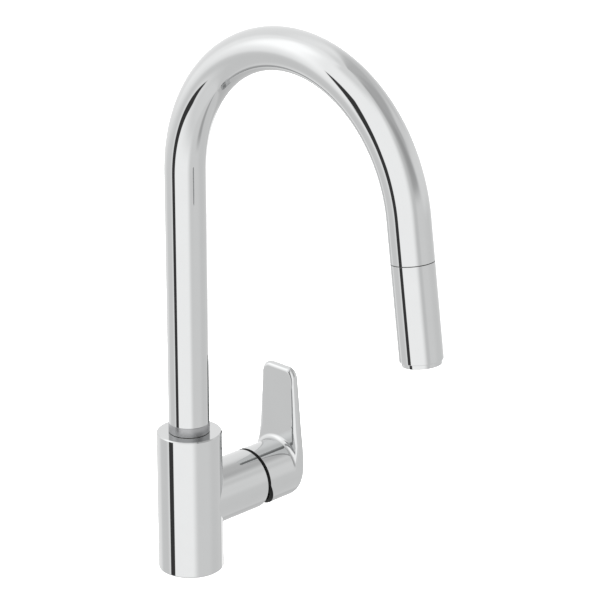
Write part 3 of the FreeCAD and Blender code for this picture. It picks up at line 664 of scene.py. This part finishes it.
def dome():
    """The round cap over the cartridge, with a mouth that the lever's stem tilts in."""
    skin = Skin()
    meet = math.degrees(math.acos((DOME_SKIRT_END_X - DOME_X) / DOME_R))
    out_mouth = math.degrees(math.asin((DOME_MOUTH_R + 0.3) / DOME_R))
    in_mouth = math.degrees(math.asin(DOME_MOUTH_R / DOME_IN_R))
    skirt = rounded([
        (DOME_IN_R, DOME_SKIRT_X), (DOME_SKIRT_R, DOME_SKIRT_X, 0.2), (DOME_SKIRT_R, DOME_SKIRT_END_X, 0.15)])
    outside = arc_rows(DOME_X, DOME_R, meet, out_mouth, 24)
    inside = arc_rows(DOME_X, DOME_IN_R, in_mouth, 89.0, 24, inside=True)
    lip = np.array([outside[-1], inside[0]])
    lip[:, 2:] = unit(lip[:, 2:].sum(axis=0))
    turn(skin, np.concatenate([skirt, outside, lip, inside, skirt[:1]]), SIDEWAYS)
    skin.build("cartridge_cap", "body", [BLACK], ["cartridge_dome"])


# Lever: hub and blade in one, built in rays from the branch's axis

def blade_outline():
    """Points (y, dz) and outward normals: from the top down one side, under the hub and up the other."""
    corner = np.array([0.0, BLADE_TOP_DZ - CORNER_R])
    corner[0] = (BRANCH_R - CORNER_R - corner[1] * math.sin(TAPER)) / math.cos(TAPER)

    def facing(angles):
        return np.stack([np.cos(angles), np.sin(angles)], axis=1)

    bend = facing(np.linspace(math.pi / 2, TAPER, 21))
    under = facing(np.linspace(TAPER, -math.pi / 2, 49))
    top = np.linspace([0.0, BLADE_TOP_DZ], [corner[0], BLADE_TOP_DZ], 7)[:-1]
    arc = corner + bend * CORNER_R
    hub = under * BRANCH_R
    share = np.linspace(0.0, 1.0, 46)[1:-1, None]
    side = arc[-1] + (hub[0] - arc[-1]) * share
    points = np.concatenate([top, arc, side, hub])
    normals = np.concatenate([
        np.repeat(bend[:1], len(top), axis=0), bend, np.repeat(under[:1], len(side), axis=0), under])
    mirror = np.array([-1.0, 1.0])
    points = np.concatenate([points, points[-2::-1] * mirror])
    normals = np.concatenate([normals, normals[-2::-1] * mirror])
    return points, normals


def outer_face(dz):
    """How far out the lever's outer face is: flat over the hub, easing back into the blade's slope."""
    plane = BLADE_ROOT_X - (BLADE_ROOT_X - BLADE_TOP_X) * dz / BLADE_TOP_DZ
    return plane + (HUB_END_X - plane) * (1.0 - smoothstep(*FACE_EASE, dz))


def outer_normal(dz):
    step = 0.01
    slope = (outer_face(dz + step) - outer_face(dz - step)) / (2 * step)
    return unit(np.stack([np.ones_like(dz), np.zeros_like(dz), -slope], axis=-1))


class Rays:
    """The lever's outline seen along the branch, as rays out from the branch's axis."""

    def __init__(self, skin):
        flat, side = blade_outline()
        self.skin = skin
        self.height = flat[:, 1]
        self.reach = np.linalg.norm(flat, axis=1)
        self.ray = flat / self.reach[:, None]
        self.oblique = np.sum(self.ray * side, axis=1)
        self.out = np.insert(self.ray, 0, 0.0, axis=1)
        self.side = np.insert(side, 0, 0.0, axis=1)

    def strip(self, items, paint=0):
        """Adds rows all round the lever. Each has a distance along the rays, an x and a normal."""
        points = []
        normals = []
        for r, x, normal in items:
            distance = np.broadcast_to(r, self.reach.shape)[:, None]
            across = np.broadcast_to(x, self.reach.shape)[:, None]
            points.append(self.out * distance + across * X_AXIS + BRANCH_CENTRE)
            normals.append(np.broadcast_to(normal, self.out.shape))
        self.skin.patch(np.array(points), np.array(normals), paint=paint)

    def rim(self, r):
        """Where the hub's rim is: level with HUB_X, and slanting away from the branch below the axis."""
        return HUB_X + np.maximum(0.0, -r * self.ray[:, 1]) * math.tan(NOTCH)


def hub_inside(rays):
    """The hub's floor, bore and rim, all painted near-black as shade, with the bevel that widens the gap to
    the branch.
    """
    slanted = unit(np.array([-1.0, 0.0, -math.tan(NOTCH)]))
    rim_normal = np.where((rays.ray[:, 1] < -1e-6)[:, None], slanted, -X_AXIS)
    inner_slope = unit(rim_normal - rays.out)
    outer_slope = unit(rim_normal + rays.out)
    lip_x = rays.rim(HUB_BORE_R) + RIM_LIP
    lip_r = HUB_BORE_R + RIM_LIP
    bevel_r = BRANCH_R - RIM_BEVEL
    shine = (BRANCH_R - 0.05, rays.rim(BRANCH_R) + RIM_BEVEL - 0.15, outer_slope)
    # Painted shade: the floor, bore, rim and most of the bevel get the near-black material; only the last
    # strip of the rounding stays chrome.
    rays.strip([(0.0, HUB_FLOOR_X, -X_AXIS), (HUB_BORE_R, HUB_FLOOR_X, -X_AXIS)], paint=PAINTED_SHADE_SLOT)
    rays.strip([(HUB_BORE_R, HUB_FLOOR_X, -rays.out), (HUB_BORE_R, lip_x, -rays.out)], paint=PAINTED_SHADE_SLOT)
    rays.strip([
        (HUB_BORE_R, lip_x, -rays.out), (HUB_BORE_R + 0.1, rays.rim(HUB_BORE_R) + 0.1, inner_slope),
        (lip_r, rays.rim(lip_r), rim_normal)], paint=PAINTED_SHADE_SLOT)
    rays.strip([(lip_r, rays.rim(lip_r), rim_normal), (bevel_r, rays.rim(bevel_r), rim_normal)], paint=PAINTED_SHADE_SLOT)
    rays.strip([(bevel_r, rays.rim(bevel_r), outer_slope), shine], paint=PAINTED_SHADE_SLOT)
    rays.strip([shine, (BRANCH_R, rays.rim(BRANCH_R) + RIM_BEVEL, rays.out)])


def hub_wall(rays):
    start = rays.rim(BRANCH_R) + RIM_BEVEL
    end = BLADE_X - BLADE_ROOT_R
    rays.strip([(BRANCH_R, start + (end - start) * t, rays.out) for t in np.linspace(0.0, 1.0, 9)])


def inner_face(rays):
    """The fillet at the blade's root, the inner face and its rounded edge. Returns the edge's end in x."""
    root_start = BLADE_X - BLADE_ROOT_R
    root_r = BRANCH_R + BLADE_ROOT_R
    inset = EDGE_IN + EDGE_GROWTH * (1.0 - smoothstep(*GROWTH_EASE, rays.height))
    inset = np.minimum(inset, EDGE_SHARE * (rays.reach - BRANCH_R) * rays.oblique)
    limit = rays.reach - inset / rays.oblique
    last = np.arccos(np.clip((root_r - limit) / BLADE_ROOT_R, 0.0, 1.0))
    fillet = []
    for t in np.linspace(0.0, 1.0, 11):
        b = last * t
        normal = np.cos(b)[:, None] * rays.out - np.sin(b)[:, None] * X_AXIS
        fillet.append((root_r - BLADE_ROOT_R * np.cos(b), root_start + BLADE_ROOT_R * np.sin(b), normal))
    rays.strip(fillet)
    root_end, face_x, face_normal = fillet[-1]
    face_end = np.maximum(limit, root_end)
    rays.strip([(root_end + (face_end - root_end) * t, face_x, -X_AXIS) for t in np.linspace(0.0, 1.0, 5)])
    depth = EDGE_DEPTH * last / (math.pi / 2)
    edge = []
    for t in np.linspace(0.0, 1.0, 6):
        a = t * math.pi / 2
        r = face_end + (rays.reach - face_end) * math.sin(a)
        edge.append((r, face_x + depth * (1 - math.cos(a)), unit(face_normal * (1 - t) + rays.side * t)))
    rays.strip(edge)
    return edge[-1][1]


def outer_side(rays, side_low):
    """The lever's side wall, the rounding round its outer face, and the face."""
    rounding = EDGE_OUT + (HUB_ROUND - EDGE_OUT) * (1.0 - smoothstep(*OUTER_EASE, rays.height))
    top_r = np.maximum(rays.reach - rounding / rays.oblique, 0.0)
    top_dz = rays.ray[:, 1] * top_r
    side_high = outer_face(top_dz) - rounding
    top_normal = outer_normal(top_dz)
    rays.strip([
        (rays.reach, side_low + (side_high - side_low) * t, rays.side) for t in np.linspace(0.0, 1.0, 7)])
    edge = []
    for t in np.linspace(0.0, 1.0, 13):
        a = t * math.pi / 2
        normal = unit(rays.side * math.cos(a) + top_normal * math.sin(a))
        r = rays.reach - (rays.reach - top_r) * (1 - math.cos(a))
        edge.append((r, side_high + rounding * math.sin(a), normal))
    rays.strip(edge)
    face = []
    for t in np.linspace(0.0, 1.0, 25):
        dz = top_dz * (1 - t)
        face.append((top_r * (1 - t), outer_face(dz), outer_normal(dz)))
    rays.strip(face)


def lever():
    skin = Skin()
    rays = Rays(skin)
    hub_inside(rays)
    hub_wall(rays)
    outer_side(rays, inner_face(rays))
    skin.build("lever_shell", "lever", [CHROME, PAINTED_SHADE], ["lever_handle"])


def lever_plug():
    """The round plug over the grub screw, under the hub. It stands a hair proud and follows the curve."""
    skin = Skin()
    rings = [(0.0, 0.12), (PLUG_R - 0.5, 0.12), (PLUG_R - 0.2, 0.06), (PLUG_R, -0.1), (PLUG_R, -0.6)]
    turn_angles = np.linspace(0.0, 2.0 * math.pi, 41)
    points = []
    normals = []
    for r, proud in rings:
        y = r * np.sin(turn_angles)
        drop = np.sqrt((BRANCH_R + proud) ** 2 - y ** 2)
        x = PLUG_X + r * np.cos(turn_angles)
        points.append(np.stack([x, y, BRANCH_Z - drop], axis=1))
        down = np.stack([np.zeros_like(y), y, -drop], axis=1)
        out = np.stack([np.cos(turn_angles), np.sin(turn_angles), np.zeros_like(y)], axis=1)
        lean = min(1.0, max(0.0, (r - PLUG_R + 0.5) / 0.5))
        normals.append(unit(unit(down) * (1 - lean) + out * lean + 1e-6 * down))
    skin.patch(np.array(points), np.array(normals))
    skin.build("plug_disc", "lever", [PAINTS["grey_plastic"]], ["lever_plug"])


# Spout and spray head

def collar():
    skin = Skin()
    rows = rounded([
        (COLLAR_BORE_R, COLLAR_LOW), (TUBE_R, COLLAR_LOW, 0.12), (TUBE_R, COLLAR_TOP, 0.25),
        (COLLAR_BORE_R, COLLAR_TOP), (COLLAR_BORE_R, COLLAR_LOW)])
    turn(skin, rows, UPRIGHT)
    skin.build("swivel_ring", "spout", [SATIN], ["swivel_collar"])


def spout_tube():
    skin = Skin()
    rows = rounded([
        (TUBE_BORE_R, TUBE_LOW), (TUBE_R, TUBE_LOW, 0.2), (TUBE_R, JOINT_S, 0.1), (TUBE_BORE_R, JOINT_S),
        (TUBE_BORE_R, TUBE_LOW)])
    turn(skin, refined(rows, 2.2), along_spout)
    skin.build("gooseneck", "spout", [CHROME], ["spout_tube"])


def spray_shell():
    skin = Skin()
    rows = rounded([
        (SHELL_BORE_R, SEAM), (TUBE_R, SEAM, 0.1), (TUBE_R, SHELL_END, 0.45), (SHELL_BORE_R, SHELL_END),
        (SHELL_BORE_R, SEAM)])
    turn(skin, rows, on_head)
    skin.build("spray_body", "spray_head", [CHROME], ["spray_shell"])


def outlet_ring():
    skin = Skin()
    rows = rounded([
        (AERATOR_POCKET_R, SHELL_END), (OUTLET_R, SHELL_END), (OUTLET_R, HEAD_END, 0.6),
        (MOUTH_R, HEAD_END, 0.35), (MOUTH_R, AERATOR_POCKET_S), (AERATOR_POCKET_R, AERATOR_POCKET_S),
        (AERATOR_POCKET_R, SHELL_END)])
    turn(skin, rows, on_head)
    skin.build("mouth_ring", "spray_head", [CHROME], ["outlet_ring"])


def hose():
    """The pull-out hose: the run hidden in the spout, and the last stretch, which pays out."""
    paid_out = JOINT_S - OUTLET_L
    end = JOINT_S + HOSE_END
    run = Skin()
    rows = rounded([
        (HOSE_BORE_R, HOSE_FOOT_S), (HOSE_R, HOSE_FOOT_S), (HOSE_R, paid_out), (HOSE_BORE_R, paid_out),
        (HOSE_BORE_R, HOSE_FOOT_S)])
    turn(run, refined(rows, 3.0), along_spout, segments=40)
    run.build("hose_run", "spout", [PAINTS["hose_braid"]], ["spray_hose"])
    last = Skin()
    rows = rounded([
        (HOSE_BORE_R, paid_out), (HOSE_R, paid_out), (HOSE_R, end), (HOSE_BORE_R, end),
        (HOSE_BORE_R, paid_out)])
    turn(last, refined(rows, 0.1), along_spout, segments=40)
    piece = last.build("hose_payout", None, [PAINTS["hose_braid"]])
    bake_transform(piece)


# Studio: floor, light and camera

CHROME_REFLECTANCE = 0.555


def seen(level):
    """Light that chrome shows at this level, from 0 to 255."""
    share = level / 255.0
    linear = ((share + 0.055) / 1.055) ** 2.4
    return linear / CHROME_REFLECTANCE


def studio():
    """Soft panels round the object. The camera itself sees plain white behind the object."""
    world = bpy.data.worlds.new("studio")
    world.use_nodes = True
    bpy.context.scene.world = world
    n = Nodes(world.node_tree)
    x, y, z = n.split(n.add("ShaderNodeTexCoord").outputs["Generated"])
    around = n.math("MULTIPLY", n.math("ARCTAN2", y, x), 180.0 / math.pi)
    height = n.math("MULTIPLY", n.math("ARCSINE", z), 180.0 / math.pi)
    light = seen(197)

    def panel(level, left, right, low, high, soft_side, soft_rise):
        """Lights a panel, in degrees: the sides from +X, low and high over the horizon."""
        nonlocal light
        offset = n.math("WRAP", n.math("SUBTRACT", around, (left + right) / 2), 180.0, -180.0)
        half = (right - left) / 2
        tall = (high - low) / 2
        across = n.ramp(n.math("ABSOLUTE", offset), half + soft_side, half - soft_side)
        rise = n.math("ABSOLUTE", n.math("SUBTRACT", height, (low + high) / 2))
        up = n.ramp(rise, tall + soft_rise, tall - soft_rise)
        mask = n.math("MULTIPLY", across, up)
        part = n.math("MULTIPLY", n.math("SUBTRACT", seen(level), light), mask)
        light = n.math("ADD", light, part)

    panel(174, -4, 66, -90, -18, 10, 10)           # low right
    panel(190, 305, 356, -90, 0, 14, 10)
    panel(208, 72, 104, -44, 0, 6, 8)
    panel(190, 108, 148, -90, -20, 8, 8)
    panel(204, 156, 240, -90, -50, 10, 10)         # low, behind the camera
    panel(205, 308, 360, -4, 22, 12, 8)            # plain wall in front, right
    panel(186, -12, 26, 16, 54, 10, 10)
    panel(172, 300, 380, 44, 92, 16, 8)
    panel(207, 28, 245, 72, 92, 12, 6)             # ceiling
    panel(186, 250, 268, -14, 40, 6, 8)
    panel(159, 265, 304, 9, 80, 9, 7)              # grey wall in front, left
    panel(164, 296, 316, 30, 50, 8, 8)
    panel(162, 292, 344, 44, 74, 10, 8)
    panel(148, 276, 296, 18, 50, 7, 10)
    panel(154, 281, 304, -90, -42, 9, 10)
    panel(213, 30, 158, -13, 76, 12, 6)            # large softbox
    panel(222, 30, 158, 52, 74, 12, 12)
    panel(227, 100, 160, -8, 74, 8, 8)
    panel(232, 149, 245, -40, 64, 13, 16)          # broad lit wall behind the camera
    panel(254, 118, 147, 9, 56, 9, 14)             # the softbox's bright side
    panel(231, 9, 23, -32, -3, 4, 4)               # small bright card, low right
    panel(52, 152.5, 167, -39, 17.5, 0.8, 1.0)     # narrow dark flag
    panel(52, 150.5, 168.3, -38, -3, 0.8, 2.0)
    paths = n.add("ShaderNodeLightPath")
    room = n.add("ShaderNodeBackground")
    n.link(light, room.inputs["Color"])
    backdrop = n.add("ShaderNodeBackground")
    backdrop.inputs["Color"].default_value = (1.0, 1.0, 1.0, 1.0)
    pick = n.add("ShaderNodeMixShader")
    n.link(paths.outputs["Is Camera Ray"], pick.inputs[0])
    n.link(room.outputs[0], pick.inputs[1])
    n.link(backdrop.outputs[0], pick.inputs[2])
    n.link(pick.outputs[0], n.add("ShaderNodeOutputWorld").inputs["Surface"])


def floor():
    material, n = new_material("pale_floor")
    n.surface((0.93, 0.93, 0.93), 0.9)
    bpy.ops.mesh.primitive_circle_add(vertices=96, radius=6.0, fill_type="NGON")
    disc = bpy.context.object
    disc.name = "floor"
    disc.data.materials.append(material)
    disc.visible_glossy = False
    lamp = bpy.data.lights.new("overhead", "AREA")
    lamp.shape = "SQUARE"
    lamp.size = 5.0
    lamp.energy = 260.0
    holder = bpy.data.objects.new("overhead", lamp)
    holder.location = (0.0, 0.0, 2.2)
    holder.visible_glossy = False
    bpy.context.scene.collection.objects.link(holder)


CAMERA_AT = (-1.2728, -1.3801, 0.8970)
CAMERA_FACING = (0.6677, 0.6619, -0.3407)
CAMERA_LENS = 160.6


def camera():
    data = bpy.data.cameras.new("camera")
    data.lens = CAMERA_LENS
    data.sensor_width = 36.0
    data.clip_end = 50.0
    holder = bpy.data.objects.new("camera", data)
    holder.location = CAMERA_AT
    holder.rotation_euler = Vector(CAMERA_FACING).to_track_quat("-Z", "Y").to_euler()
    bpy.context.scene.collection.objects.link(holder)
    bpy.context.scene.camera = holder
    bpy.context.scene.view_settings.view_transform = "Standard"


camera()
studio()
floor()
paint_cad_nodes()
body()
dome()
lever()
lever_plug()
collar()
spout_tube()
spray_shell()
outlet_ring()
hose()
